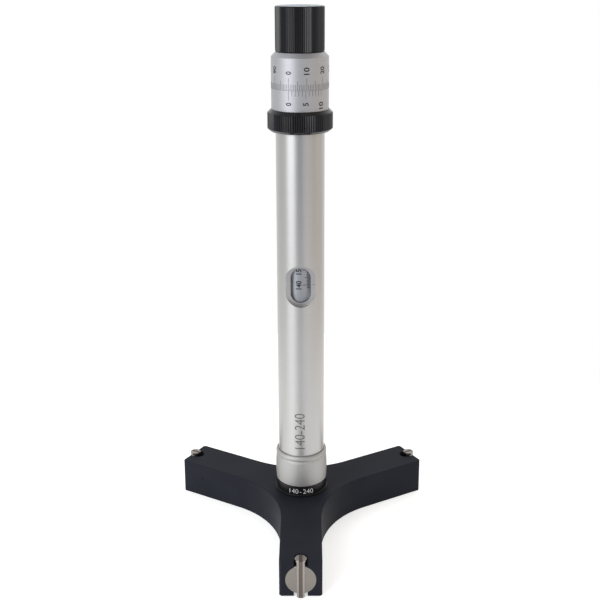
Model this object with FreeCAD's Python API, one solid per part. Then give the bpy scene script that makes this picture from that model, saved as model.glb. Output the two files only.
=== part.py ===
import FreeCAD, Part
import math
import os

from FreeCAD import Vector

# Three-point inside micrometer, 140 to 240 mm, standing on its measuring head.
# Millimetres. +Z runs up the column, the origin is on the column axis at the
# underside of the three-armed head, and the first arm points along -Y.

# Measuring head
ARM_COUNT = 3
ARM_REACH = 68.4
ARM_SIDE_WALL = 2.61
BORE_FLOOR = 1.16
BORE_ROOF = 2.36
ARM_FILLET_RADIUS = 46.0
HEAD_EDGE_BREAK = 0.2
ARM_END_BREAK = 0.9

# Plungers and their measuring bars
STROKE = 50.0
PLUNGER_DIAMETER = 14.4
PLUNGER_FIT = 0.04
PLUNGER_SETBACK = 0.1
PLUNGER_EDGE_BREAK = 0.15
BAR_PROUD = 1.6
BAR_WIDTH = 3.6
BAR_LAND = 1.8
BAR_BEVEL_DEPTH = 0.8
BAR_SEAT_DEPTH = 2.8
BAR_HEAD_DIAMETER = 5.4
BAR_HEAD_HEIGHT = 1.1
BAR_HEAD_EDGE = 0.25
BAR_RISE = 1.2
BAR_FOOT_CLEARANCE = 0.1
SLOT_SIDE_CLEARANCE = 0.45
SLOT_BACK_CLEARANCE = 2.6

# Key that keeps a plunger from turning, and the screw that holds it
KEY_HEIGHT = 2.4
KEY_GRIP = 1.2
KEY_BITE = 1.0
KEY_LENGTH = 16.5
KEY_END_LAND = 1.4
KEY_FIT = 0.04
KEY_ABOVE_AXIS = 2.4
KEY_SCREW_FROM_END = 13.2
KEY_SCREW_DIAMETER = 1.6
KEY_SCREW_RECESS = 0.3
KEY_SCREW_SLOT = 0.4
KEY_SCREW_DEPTH_IN_KEY = 0.8

# Drive screws, bushes and mitre gears
DRIVE_PITCH = 0.5
DRIVE_SCREW_DIAMETER = 6.0
THREAD_FIT = 0.05
NUT_LENGTH = 8.0
SCREW_RELIEF = 0.6
SCREW_END_GAP = 0.6
PLUNGER_FRONT_WALL = 2.0
SCREW_JOURNAL_DIAMETER = 3.8
JOURNAL_FIT = 0.04
THRUST_COLLAR_DIAMETER = 6.8
THRUST_COLLAR_LENGTH = 1.0
THRUST_COLLAR_RECESS = 0.2
SCREW_BUSH_LENGTH = 3.5
END_PLAY = 0.1
PLUNGER_START_GAP = 0.25
GEAR_TEETH = 15
GEAR_MODULE = 0.55
GEAR_FACE = 2.2
GEAR_ADDENDUM = 0.5
GEAR_DEDENDUM = 0.65
GEAR_BACKLASH = 0.2
GEAR_PRESSURE_ANGLE = 20.0
GEAR_BACKING = 0.3
GEAR_HUB_LENGTH = 0.6
GEAR_HUB_DIAMETER = 7.2
GEAR_BORE = 3.0
GEAR_ROOM = 0.7

# Column
TUBE_DIAMETER = 22.9
TUBE_WALL = 2.95
TUBE_END_BREAK = 0.3
BASE_HEIGHT = 5.75
BASE_OVERHANG = 1.4
BASE_LIP = 0.3
BASE_LIP_HEIGHT = 1.1
BASE_SPIGOT_DIAMETER = 13.8
BASE_SPIGOT_DEPTH = 2.0
BASE_STEM_HEIGHT = 12.0
BASE_SCREW_DIAMETER = 2.0
BASE_SCREW_LENGTH = 10.0
BASE_SCREW_HEAD_DIAMETER = 3.8
BASE_SCREW_HEAD_HEIGHT = 1.6
BASE_SCREW_SOCKET = 1.5
COLLAR_HEIGHT = 16.2
COLLAR_WALL = 1.32
COLLAR_BULGE = 0.13
COLLAR_BELLY_RISE = 7.6
COLLAR_FOOT_DRAW = 0.2
COLLAR_SHOULDER_DRAW = 0.07
COLLAR_COVE_HEIGHT = 1.0
COLLAR_NECK_DEPTH = 0.37
COLLAR_BEAD_HEIGHT = 2.7
COLLAR_LIP_DRAW = 0.75
COLLAR_MOUTH_BREAK = 0.25

# Window and graduated sleeve
WINDOW_ABOVE_COLLAR = 89.0
WINDOW_WIDTH = 9.6
WINDOW_LENGTH = 17.2
WINDOW_LAND = 0.5
SPOTFACE_WIDTH = 14.6
SPOTFACE_LENGTH = 20.6
SLEEVE_WALL = 1.8
SLEEVE_FIT = 0.08
SLEEVE_COVER = 1.3
INDICATOR_PITCH = 0.75
SCALE_NUT_LENGTH = 9.0
SCALE_KEY_WIDTH = 3.0
SCALE_KEY_LENGTH = 6.0
SCALE_KEY_START = 1.5
SCALE_KEY_FIT = 0.06
KEYWAY_DEPTH = 1.2
KEYWAY_CLEARANCE = 0.1

# Drive shaft and its bushes
SCALE_NUT_WALL = 1.57
SHAFT_FOOT_DIAMETER = 6.0
SHAFT_TOP_DIAMETER = 8.0
SHAFT_SEAT_DIAMETER = 6.4
THREAD_RUNOUT = 1.5
LOWER_BUSH_WALL = 2.0
UPPER_BUSH_LENGTH = 15.0
SLEEVE_HEADROOM = 1.0

# Thimble, vernier sleeve and lock ring
VERNIER_WALL = 1.85
THIMBLE_SKIRT = 14.2
THIMBLE_CHAMFER = 2.05
THIMBLE_OVERLAP = 7.6
THIMBLE_INSIDE_GAP = 0.45
THIMBLE_ROOF_GAP = 0.5
THIMBLE_RECESS_DIAMETER = 14.0
THIMBLE_RECESS_DEPTH = 4.0
THIMBLE_NUT_DIAMETER = 11.0
THIMBLE_NUT_HEIGHT = 3.5
VERNIER_HEIGHT = 9.6
RING_GAP = 0.1
RING_FIT = 0.05
LOCK_RING_WALL = 3.75
LOCK_RING_HEIGHT = 10.1
LOCK_RING_TOP_CHAMFER = 1.55
LOCK_RING_FOOT_CHAMFER = 1.3
LOCK_RING_FLUTES = 86
LOCK_RING_FLUTE_DEPTH = 0.34

# Friction knob
KNOB_DIAMETER = 22.7
KNOB_HEIGHT = 20.35
KNOB_FLUTES = 80
KNOB_FLUTE_DEPTH = 0.28
KNOB_EDGE = 0.45
KNOB_WALL = 2.86
KNOB_WEB = 4.5
SHAFT_END_RISE = 2.0
FRICTION_DISC_HEIGHT = 4.0
FRICTION_DISC_FIT = 0.08
SPRING_COUNT = 4
SPRING_THICKNESS = 0.5
SPRING_CONE = 0.9
SPRING_DIAMETER = 14.0
SPRING_CONTACT_GAP = 0.02
KNOB_SCREW_DIAMETER = 5.0
KNOB_SCREW_FIT = 0.05
KNOB_SCREW_THREAD = 3.5
KNOB_SCREW_GRIP = 6.0
KNOB_SCREW_HEAD_DIAMETER = 9.0
KNOB_SCREW_HEAD_HEIGHT = 2.0
KNOB_SCREW_HEAD_ROOM = 0.5
CAP_DIAMETER = 18.0
CAP_THICKNESS = 1.0

# Radii and widths that follow from the sizes above
plunger_radius = PLUNGER_DIAMETER / 2
bore_radius = plunger_radius + PLUNGER_FIT
arm_half_width = bore_radius + ARM_SIDE_WALL
arm_height = BORE_FLOOR + 2 * bore_radius + BORE_ROOF
axis_height = BORE_FLOOR + bore_radius
tube_radius = TUBE_DIAMETER / 2
tube_bore = tube_radius - TUBE_WALL
base_radius = tube_radius + BASE_OVERHANG
base_spigot_radius = BASE_SPIGOT_DIAMETER / 2
base_screw_circle = tube_bore + BASE_SCREW_HEAD_DIAMETER / 2
collar_radius = tube_radius + COLLAR_WALL
sleeve_radius = tube_bore - SLEEVE_FIT
sleeve_bore = sleeve_radius - SLEEVE_WALL
shaft_foot_radius = SHAFT_FOOT_DIAMETER / 2
shaft_top_radius = SHAFT_TOP_DIAMETER / 2
shaft_seat_radius = SHAFT_SEAT_DIAMETER / 2
shaft_thread_radius = sleeve_bore - SCALE_NUT_WALL - THREAD_FIT
lower_bush_radius = shaft_foot_radius + LOWER_BUSH_WALL
thimble_radius = tube_radius + RING_FIT + VERNIER_WALL
lock_ring_radius = tube_radius + RING_FIT + LOCK_RING_WALL
knob_radius = KNOB_DIAMETER / 2
knob_cavity = knob_radius - KNOB_WALL

# Places along an arm, measured outwards from the column axis
pitch_radius = GEAR_TEETH * GEAR_MODULE / 2
cone_distance = pitch_radius * math.sqrt(2)
gear_back = pitch_radius + GEAR_BACKING
gear_end = gear_back + GEAR_HUB_LENGTH
gear_small_scale = (cone_distance - GEAR_FACE) / cone_distance
gear_nose = gear_small_scale * (pitch_radius + GEAR_DEDENDUM * math.sqrt(0.5))
bush_start = gear_end + END_PLAY
bush_end = bush_start + SCREW_BUSH_LENGTH
thrust_collar_end = bush_end - THRUST_COLLAR_RECESS
thrust_collar_start = thrust_collar_end - THRUST_COLLAR_LENGTH
plunger_start = bush_end + PLUNGER_START_GAP
plunger_end = ARM_REACH - PLUNGER_SETBACK
bar_back = plunger_end - BAR_SEAT_DEPTH
contact_radius = ARM_REACH + BAR_PROUD
bar_axis = contact_radius - BAR_HEAD_DIAMETER / 2
plunger_bore_end = bar_back - PLUNGER_FRONT_WALL
screw_end = plunger_bore_end - SCREW_END_GAP
slot_width = BAR_HEAD_DIAMETER + 2 * SLOT_SIDE_CLEARANCE
slot_start = bar_axis - BAR_HEAD_DIAMETER / 2 - SLOT_BACK_CLEARANCE
key_end = ARM_REACH - KEY_END_LAND
key_start = key_end - KEY_LENGTH
key_middle_height = axis_height + KEY_ABOVE_AXIS
key_side = math.sqrt(bore_radius**2 - KEY_ABOVE_AXIS**2)
key_screw_place = ARM_REACH - KEY_SCREW_FROM_END

# Places up the column
indicator_travel = STROKE / DRIVE_PITCH * INDICATOR_PITCH
base_top = arm_height + BASE_HEIGHT
stem_top = base_top + BASE_STEM_HEIGHT
collar_top = base_top + COLLAR_HEIGHT
window_height = collar_top + WINDOW_ABOVE_COLLAR
sleeve_foot = window_height - WINDOW_LENGTH / 2 - SLEEVE_COVER
sleeve_top = window_height + WINDOW_LENGTH / 2 + SLEEVE_COVER + indicator_travel
upper_bush_foot = sleeve_top + SLEEVE_HEADROOM
tube_top = upper_bush_foot + UPPER_BUSH_LENGTH
joint_line = tube_top - THIMBLE_OVERLAP
vernier_top = joint_line - RING_GAP
vernier_foot = vernier_top - VERNIER_HEIGHT
lock_ring_top = vernier_foot - RING_GAP
lock_ring_foot = lock_ring_top - LOCK_RING_HEIGHT
thimble_roof = tube_top + THIMBLE_ROOF_GAP
thimble_top = joint_line + THIMBLE_SKIRT + THIMBLE_CHAMFER
recess_floor = thimble_top - THIMBLE_RECESS_DEPTH
knob_foot = thimble_top + RING_GAP
knob_top = knob_foot + KNOB_HEIGHT
cap_seat = knob_top - CAP_THICKNESS
shaft_end = thimble_top + SHAFT_END_RISE
friction_top = shaft_end + FRICTION_DISC_HEIGHT
spring_rise = SPRING_THICKNESS + SPRING_CONE + SPRING_CONTACT_GAP
web_foot = friction_top + SPRING_COUNT * spring_rise + SPRING_CONTACT_GAP
web_top = web_foot + KNOB_WEB
sleeve_key_foot = sleeve_foot + SCALE_KEY_START
thread_top = sleeve_foot + SCALE_NUT_LENGTH + THREAD_RUNOUT

UP = Vector(0, 0, 1)
ORIGIN = Vector(0, 0, 0)


def save(shape, name):
    """Write one sub-part to its own file."""
    shape.exportStep("parts/" + name + ".step")
    print(name, "solids", len(shape.Solids), "volume", round(shape.Volume, 2))


def turned(points):
    """A solid of revolution about +Z from (radius, height) corners."""
    corners = [Vector(radius, 0, height) for radius, height in points]
    outline = Part.makePolygon(corners + corners[:1])
    return Part.Face(outline).revolve(ORIGIN, UP, 360)


def ring(outer, inner, low, high):
    """A plain turned ring."""
    return turned([(inner, low), (outer, low), (outer, high), (inner, high)])


def disc(radius, low, high):
    """A plain turned cylinder."""
    return Part.makeCylinder(radius, high - low, Vector(0, 0, low), UP)


def block(x_span, y_span, z_span):
    """A box between two corners."""
    size = (x_span[1] - x_span[0], y_span[1] - y_span[0], z_span[1] - z_span[0])
    return Part.makeBox(size[0], size[1], size[2], Vector(x_span[0], y_span[0], z_span[0]))


def laid_outwards(shape):
    """Lay a piece built along +Z down on the axis of the first arm."""
    shape.rotate(ORIGIN, Vector(1, 0, 0), 90)
    shape.translate(Vector(0, 0, axis_height))
    return shape


def on_arm(shape, index):
    """A copy of a piece of the first arm, turned round to another arm."""
    copy = shape.copy()
    copy.rotate(ORIGIN, UP, index * 360 / ARM_COUNT)
    return copy


def on_all_arms(shape):
    """One copy of a piece for each arm."""
    return [on_arm(shape, index) for index in range(ARM_COUNT)]


def obround(width, length, height, depth_from, depth_to):
    """A prism along Y with two straight sides and two round ends."""
    half = width / 2
    reach = length / 2 - half
    top_left = Vector(-half, depth_from, height + reach)
    top = Vector(0, depth_from, height + length / 2)
    top_right = Vector(half, depth_from, height + reach)
    foot_right = Vector(half, depth_from, height - reach)
    foot = Vector(0, depth_from, height - length / 2)
    foot_left = Vector(-half, depth_from, height - reach)
    edges = [
        Part.Arc(top_left, top, top_right).toShape(),
        Part.LineSegment(top_right, foot_right).toShape(),
        Part.Arc(foot_right, foot, foot_left).toShape(),
        Part.LineSegment(foot_left, top_left).toShape(),
    ]
    return Part.Face(Part.Wire(edges)).extrude(Vector(0, depth_to - depth_from, 0))


def fluted(radius, depth, count, low, high):
    """A round bar with straight V flutes all the way round."""
    corners = []
    for index in range(count):
        for share, reach in ((0.0, radius), (0.5, radius), (0.75, radius - depth)):
            angle = 2 * math.pi * (index + share) / count
            corners.append(Vector(reach * math.cos(angle), reach * math.sin(angle), low))
    outline = Part.makePolygon(corners + corners[:1])
    return Part.Face(outline).extrude(Vector(0, 0, high - low))


def head_outline():
    """The plan of the head: three arms joined by large hollow fillets."""
    gap_angle = math.pi / ARM_COUNT
    fillet_centre = (arm_half_width + ARM_FILLET_RADIUS) / math.sin(gap_angle)
    root = fillet_centre * math.cos(gap_angle)
    edges = []
    for index in range(ARM_COUNT):
        turn = 2 * gap_angle * index - math.pi / 2

        def place(outwards, sideways, turn=turn):
            x = outwards * math.cos(turn) - sideways * math.sin(turn)
            y = outwards * math.sin(turn) + sideways * math.cos(turn)
            return Vector(x, y, 0)

        nearest = fillet_centre - ARM_FILLET_RADIUS
        waist = place(nearest * math.cos(gap_angle), nearest * math.sin(gap_angle))
        next_turn = turn + 2 * gap_angle
        next_root = place(root, -arm_half_width, next_turn)
        corners = [
            place(root, -arm_half_width),
            place(ARM_REACH, -arm_half_width),
            place(ARM_REACH, arm_half_width),
            place(root, arm_half_width),
        ]
        for first, second in zip(corners, corners[1:]):
            edges.append(Part.LineSegment(first, second).toShape())
        edges.append(Part.Arc(corners[3], waist, next_root).toShape())
    return Part.Wire(edges)


def guide_key():
    """A flat key let into the side of an arm's bore."""
    outwards = (-key_end, -key_start)
    upwards = (key_middle_height - KEY_HEIGHT / 2, key_middle_height + KEY_HEIGHT / 2)
    key = block((key_side - KEY_GRIP, key_side + KEY_BITE), outwards, upwards)
    return key.cut(key_screw_blank(key_side + KEY_BITE - KEY_SCREW_DEPTH_IN_KEY))


def key_screw_blank(start):
    """The plain body of the screw through an arm's side, from its tip outwards."""
    tip = Vector(start, -key_screw_place, key_middle_height)
    length = arm_half_width - KEY_SCREW_RECESS - start
    return Part.makeCylinder(KEY_SCREW_DIAMETER / 2, length, tip, Vector(1, 0, 0))


def key_screw():
    """The slotted screw that holds a guide key."""
    screw = key_screw_blank(key_side + KEY_BITE - KEY_SCREW_DEPTH_IN_KEY)
    outer = arm_half_width - KEY_SCREW_RECESS
    side = KEY_SCREW_DIAMETER
    slot = block(
        (outer - KEY_SCREW_SLOT, outer + KEY_SCREW_SLOT),
        (-key_screw_place - side, -key_screw_place + side),
        (key_middle_height - KEY_SCREW_SLOT / 2, key_middle_height + KEY_SCREW_SLOT / 2),
    )
    return screw.cut(slot)


def arm_cutters():
    """What is cut from the first arm: bore, end slot, key seat and screw hole."""
    bore = laid_outwards(disc(bore_radius, 0, ARM_REACH + 1))
    mouth = ARM_REACH + 1
    round_place = slot_start + slot_width / 2
    slot = block((-slot_width / 2, slot_width / 2), (-mouth, -round_place), (-1, arm_height + 1))
    slot_back = disc(slot_width / 2, -1, arm_height + 1)
    slot_back.translate(Vector(0, -round_place, 0))
    key_seat = block(
        (0, key_side + KEY_BITE),
        (-key_end, -key_start),
        (key_middle_height - KEY_HEIGHT / 2, key_middle_height + KEY_HEIGHT / 2),
    )
    side_hole = Part.makeCylinder(
        KEY_SCREW_DIAMETER / 2,
        arm_half_width + 1 - key_side,
        Vector(key_side, -key_screw_place, key_middle_height),
        Vector(1, 0, 0),
    )
    return [bore, slot, slot_back, key_seat, side_hole]


def base_screw_places():
    """Screws stand between the arms, clear of the three bores."""
    places = []
    for index in range(ARM_COUNT):
        angle = 2 * math.pi * (index + 0.5) / ARM_COUNT - math.pi / 2
        places.append(Vector(math.cos(angle), math.sin(angle), 0) * base_screw_circle)
    return places


def measuring_head():
    """The black anodised body that carries everything."""
    body = Part.Face(head_outline()).extrude(Vector(0, 0, arm_height))
    corners = []
    for edge in body.Edges:
        first = edge.Vertexes[0].Point
        is_upright = edge.BoundBox.ZLength > arm_height / 2
        if is_upright and math.hypot(first.x, first.y) > ARM_REACH:
            corners.append(edge)
    body = body.makeChamfer(ARM_END_BREAK, corners)
    rims = [edge for edge in body.Edges if edge.BoundBox.ZLength < arm_height / 2]
    body = body.makeChamfer(HEAD_EDGE_BREAK, rims)
    cutters = []
    for cutter in arm_cutters():
        cutters.extend(on_all_arms(cutter))
    cutters.append(disc(base_spigot_radius, arm_height - BASE_SPIGOT_DEPTH, arm_height + 1))
    cutters.append(disc(pitch_radius + GEAR_ADDENDUM + GEAR_ROOM, axis_height, arm_height))
    hole_foot = base_top - BASE_SCREW_HEAD_HEIGHT - BASE_SCREW_LENGTH
    for place in base_screw_places():
        hole = disc(BASE_SCREW_DIAMETER / 2, hole_foot, arm_height + 1)
        hole.translate(place)
        cutters.append(hole)
    return body.cut(cutters)


def plunger():
    """A ground steel rod, threaded inside, grooved across its face for the bar."""
    thread = DRIVE_SCREW_DIAMETER / 2 + THREAD_FIT
    relief = DRIVE_SCREW_DIAMETER / 2 + SCREW_RELIEF
    nut_end = plunger_start + NUT_LENGTH
    rod = turned([
        (thread, plunger_start),
        (plunger_radius - PLUNGER_EDGE_BREAK, plunger_start),
        (plunger_radius, plunger_start + PLUNGER_EDGE_BREAK),
        (plunger_radius, plunger_end - PLUNGER_EDGE_BREAK),
        (plunger_radius - PLUNGER_EDGE_BREAK, plunger_end),
        (0, plunger_end),
        (0, plunger_bore_end),
        (relief, plunger_bore_end),
        (relief, nut_end),
        (thread, nut_end),
    ])
    rod = laid_outwards(rod)
    groove = block((-BAR_WIDTH / 2, BAR_WIDTH / 2), (-ARM_REACH, -bar_back), (-1, arm_height))
    half = KEY_HEIGHT / 2 + KEY_FIT
    keyway = block(
        (key_side - KEY_GRIP - KEY_FIT, plunger_radius + 1),
        (-key_end - KEY_FIT, -plunger_start + 1),
        (key_middle_height - half, key_middle_height + half),
    )
    return rod.cut([groove, keyway])


def measuring_bar():
    """The upright contact bar with a bevelled nose and a round head."""
    half = BAR_WIDTH / 2
    land = BAR_LAND / 2
    nose = contact_radius - BAR_BEVEL_DEPTH
    top = arm_height + BAR_RISE
    corners = [
        Vector(-half, -bar_back, BAR_FOOT_CLEARANCE),
        Vector(-half, -nose, BAR_FOOT_CLEARANCE),
        Vector(-land, -contact_radius, BAR_FOOT_CLEARANCE),
        Vector(land, -contact_radius, BAR_FOOT_CLEARANCE),
        Vector(half, -nose, BAR_FOOT_CLEARANCE),
        Vector(half, -bar_back, BAR_FOOT_CLEARANCE),
    ]
    blade = Part.Face(Part.makePolygon(corners + corners[:1]))
    blade = blade.extrude(Vector(0, 0, top - BAR_HEAD_EDGE - BAR_FOOT_CLEARANCE))
    radius = BAR_HEAD_DIAMETER / 2
    head = turned([
        (0, top - BAR_HEAD_HEIGHT),
        (radius, top - BAR_HEAD_HEIGHT),
        (radius, top - BAR_HEAD_EDGE),
        (radius - BAR_HEAD_EDGE, top),
        (0, top),
    ])
    head.translate(Vector(0, -bar_axis, 0))
    return blade.fuse(head).removeSplitter()


def screw_bush():
    """The bronze bush that carries a drive screw and takes its thrust."""
    journal = SCREW_JOURNAL_DIAMETER / 2 + JOURNAL_FIT
    recess = THRUST_COLLAR_DIAMETER / 2 + 2 * JOURNAL_FIT
    floor = thrust_collar_start - END_PLAY
    bush = turned([
        (journal, bush_start),
        (bore_radius, bush_start),
        (bore_radius, bush_end),
        (recess, bush_end),
        (recess, floor),
        (journal, floor),
    ])
    return laid_outwards(bush)


def drive_screw():
    """The fine screw that moves a plunger, with its journal and thrust collar."""
    thread = DRIVE_SCREW_DIAMETER / 2
    end_break = DRIVE_PITCH
    screw = turned([
        (0, gear_nose),
        (GEAR_BORE / 2, gear_nose),
        (GEAR_BORE / 2, gear_end),
        (SCREW_JOURNAL_DIAMETER / 2, gear_end),
        (SCREW_JOURNAL_DIAMETER / 2, thrust_collar_start),
        (THRUST_COLLAR_DIAMETER / 2, thrust_collar_start),
        (THRUST_COLLAR_DIAMETER / 2, thrust_collar_end),
        (thread, thrust_collar_end),
        (thread, screw_end - end_break),
        (thread - end_break, screw_end),
        (0, screw_end),
    ])
    return laid_outwards(screw)


def tooth_space(azimuth):
    """The wedge between two gear teeth, running to the apex of the pitch cone."""
    slope = math.tan(math.radians(GEAR_PRESSURE_ANGLE))
    pitch_half = math.pi * GEAR_MODULE / 4 + GEAR_BACKLASH / 2
    along = math.sqrt(0.5)
    loops = []
    for scale in (gear_small_scale / 2, 1.5):
        corners = []
        for height, side in (
            (-GEAR_DEDENDUM, -1),
            (2 * GEAR_ADDENDUM, -1),
            (2 * GEAR_ADDENDUM, 1),
            (-GEAR_DEDENDUM, 1),
        ):
            radial = pitch_radius + height * along
            axial = pitch_radius - height * along
            across = side * (pitch_half + height * slope)
            corners.append(Vector(radial, across, axial) * scale)
        loops.append(Part.makePolygon(corners + corners[:1]))
    wedge = Part.makeLoft(loops, True, True)
    wedge.rotate(ORIGIN, UP, azimuth)
    return wedge


def mitre_gear():
    """A mitre gear about +Z with its apex at the origin and a tooth towards -Y."""
    along = math.sqrt(0.5)
    tip = (pitch_radius + GEAR_ADDENDUM * along, pitch_radius - GEAR_ADDENDUM * along)
    root = (pitch_radius - GEAR_DEDENDUM * along, pitch_radius + GEAR_DEDENDUM * along)
    small_tip = (tip[0] * gear_small_scale, tip[1] * gear_small_scale)
    small_root = (root[0] * gear_small_scale, root[1] * gear_small_scale)
    back_rim = tip[0] - (gear_back - tip[1])
    blank = turned([
        (GEAR_BORE / 2, gear_nose),
        small_root,
        small_tip,
        tip,
        (back_rim, gear_back),
        (GEAR_HUB_DIAMETER / 2, gear_back),
        (GEAR_HUB_DIAMETER / 2, gear_end),
        (GEAR_BORE / 2, gear_end),
    ])
    step = 360 / GEAR_TEETH
    spaces = [tooth_space(-90 + step * (index + 0.5)) for index in range(GEAR_TEETH)]
    return blank.cut(spaces)


def column_base():
    """The black flange with the range on it, screwed to the head."""
    stem_break = TUBE_END_BREAK
    base = turned([
        (lower_bush_radius, arm_height - BASE_SPIGOT_DEPTH),
        (base_spigot_radius, arm_height - BASE_SPIGOT_DEPTH),
        (base_spigot_radius, arm_height),
        (base_radius + BASE_LIP, arm_height),
        (base_radius + BASE_LIP, arm_height + BASE_LIP_HEIGHT - BASE_LIP),
        (base_radius, arm_height + BASE_LIP_HEIGHT),
        (base_radius, base_top),
        (tube_bore, base_top),
        (tube_bore, stem_top - stem_break),
        (tube_bore - stem_break, stem_top),
        (lower_bush_radius, stem_top),
    ])
    holes = []
    for place in base_screw_places():
        shank = disc(BASE_SCREW_DIAMETER / 2, arm_height - 1, base_top + 1)
        pocket = disc(BASE_SCREW_HEAD_DIAMETER / 2, base_top - BASE_SCREW_HEAD_HEIGHT, base_top + 1)
        shank.translate(place)
        pocket.translate(place)
        holes.extend([shank, pocket])
    return base.cut(holes)


def base_screws():
    """Three socket screws under the tube, one between each two arms."""
    head_foot = base_top - BASE_SCREW_HEAD_HEIGHT
    shank_radius = BASE_SCREW_DIAMETER / 2
    head_radius = BASE_SCREW_HEAD_DIAMETER / 2
    socket_floor = base_top - BASE_SCREW_HEAD_HEIGHT / 2
    screws = []
    for place in base_screw_places():
        screw = turned([
            (0, head_foot - BASE_SCREW_LENGTH),
            (shank_radius, head_foot - BASE_SCREW_LENGTH),
            (shank_radius, head_foot),
            (head_radius, head_foot),
            (head_radius, base_top),
            (BASE_SCREW_SOCKET / 2, base_top),
            (BASE_SCREW_SOCKET / 2, socket_floor),
            (0, socket_floor),
        ])
        screw.translate(place)
        screws.append(screw)
    return Part.makeCompound(screws)


def lower_bush():
    """The long bronze bush in the column's base."""
    bore = shaft_foot_radius + JOURNAL_FIT
    return ring(lower_bush_radius, bore, axis_height + gear_end + END_PLAY, stem_top)


def collar():
    """The bright ferrule at the foot of the tube: a barrel, a neck and a rolled bead round its mouth."""
    neck_height = collar_top - COLLAR_BEAD_HEIGHT
    foot = Vector(collar_radius - COLLAR_FOOT_DRAW, 0, base_top)
    belly = Vector(collar_radius + COLLAR_BULGE, 0, base_top + COLLAR_BELLY_RISE)
    shoulder = Vector(collar_radius - COLLAR_SHOULDER_DRAW, 0, neck_height - COLLAR_COVE_HEIGHT)
    neck = Vector(collar_radius - COLLAR_NECK_DEPTH, 0, neck_height)
    bead = Vector(collar_radius, 0, collar_top - COLLAR_BEAD_HEIGHT / 2)
    lip = Vector(collar_radius - COLLAR_LIP_DRAW, 0, collar_top)
    mouth = Vector(tube_radius + COLLAR_MOUTH_BREAK, 0, collar_top)
    mouth_foot = Vector(tube_radius, 0, collar_top - COLLAR_MOUTH_BREAK)
    seat = Vector(tube_radius, 0, base_top)
    edges = [
        Part.Arc(foot, belly, shoulder).toShape(),
        Part.LineSegment(shoulder, neck).toShape(),
        Part.Arc(neck, bead, lip).toShape(),
        Part.LineSegment(lip, mouth).toShape(),
        Part.LineSegment(mouth, mouth_foot).toShape(),
        Part.LineSegment(mouth_foot, seat).toShape(),
        Part.LineSegment(seat, foot).toShape(),
    ]
    return Part.Face(Part.Wire(edges)).revolve(ORIGIN, UP, 360)


def column_tube():
    """The aluminium tube with its reading window in front and a keyway behind."""
    tube = turned([
        (tube_bore, base_top),
        (tube_radius, base_top),
        (tube_radius, tube_top - TUBE_END_BREAK),
        (tube_radius - TUBE_END_BREAK, tube_top),
        (tube_bore, tube_top),
    ])
    floor = -(tube_bore + WINDOW_LAND)
    spotface = obround(SPOTFACE_WIDTH, SPOTFACE_LENGTH, window_height, floor, -tube_radius - 1)
    slot = obround(WINDOW_WIDTH, WINDOW_LENGTH, window_height, 0, -tube_radius - 1)
    half = SCALE_KEY_WIDTH / 2
    keyway = block((-half, half), (0, tube_bore + KEYWAY_DEPTH), (base_top - 1, tube_top + 1))
    return tube.cut([spotface, slot, keyway])


def scale_sleeve():
    """The graduated sleeve that the window shows, slotted for its key."""
    sleeve = ring(sleeve_radius, sleeve_bore, sleeve_foot, sleeve_top)
    return sleeve.cut(scale_key_block(sleeve_radius + 1))


def scale_key_block(reach):
    """The key's block at the back of the sleeve, out to a given radius."""
    half = SCALE_KEY_WIDTH / 2 - SCALE_KEY_FIT
    heights = (sleeve_key_foot, sleeve_key_foot + SCALE_KEY_LENGTH)
    whole = block((-half, half), (0, reach), heights)
    return whole.cut(disc(sleeve_bore, sleeve_foot, sleeve_top))


def scale_key():
    """The key that keeps the graduated sleeve from turning."""
    return scale_key_block(tube_bore + KEYWAY_DEPTH - KEYWAY_CLEARANCE)


def scale_nut():
    """The brass nut in the foot of the sleeve, on the shaft's long thread."""
    bore = shaft_thread_radius + THREAD_FIT
    return ring(sleeve_bore, bore, sleeve_foot, sleeve_foot + SCALE_NUT_LENGTH)


def drive_shaft():
    """The central shaft, from the gear at its foot to the knob's screw."""
    gear_top = axis_height + gear_end
    tap_floor = friction_top - FRICTION_DISC_HEIGHT - KNOB_SCREW_GRIP
    tap = KNOB_SCREW_THREAD / 2
    return turned([
        (0, axis_height + gear_nose),
        (GEAR_BORE / 2, axis_height + gear_nose),
        (GEAR_BORE / 2, gear_top),
        (shaft_foot_radius, gear_top),
        (shaft_foot_radius, stem_top + END_PLAY),
        (shaft_thread_radius, stem_top + END_PLAY),
        (shaft_thread_radius, thread_top),
        (shaft_top_radius, thread_top),
        (shaft_top_radius, thimble_roof),
        (shaft_seat_radius, thimble_roof),
        (shaft_seat_radius, shaft_end),
        (tap, shaft_end),
        (tap, tap_floor),
        (0, tap_floor),
    ])


def upper_bush():
    """The bronze bush in the head of the tube."""
    return ring(tube_bore, shaft_top_radius + JOURNAL_FIT, upper_bush_foot, tube_top)


def lock_ring():
    """The knurled ring that clamps the vernier sleeve."""
    bore = tube_radius + RING_FIT
    outer = lock_ring_radius
    envelope = turned([
        (bore, lock_ring_foot),
        (outer - LOCK_RING_FOOT_CHAMFER, lock_ring_foot),
        (outer, lock_ring_foot + LOCK_RING_FOOT_CHAMFER),
        (outer, lock_ring_top - LOCK_RING_TOP_CHAMFER),
        (outer - LOCK_RING_TOP_CHAMFER, lock_ring_top),
        (bore, lock_ring_top),
    ])
    knurl = fluted(outer, LOCK_RING_FLUTE_DEPTH, LOCK_RING_FLUTES, lock_ring_foot, lock_ring_top)
    return envelope.common(knurl)


def vernier_sleeve():
    """The ring with the vernier lines, which turns to set zero."""
    return ring(thimble_radius, tube_radius + RING_FIT, vernier_foot, vernier_top)


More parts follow.
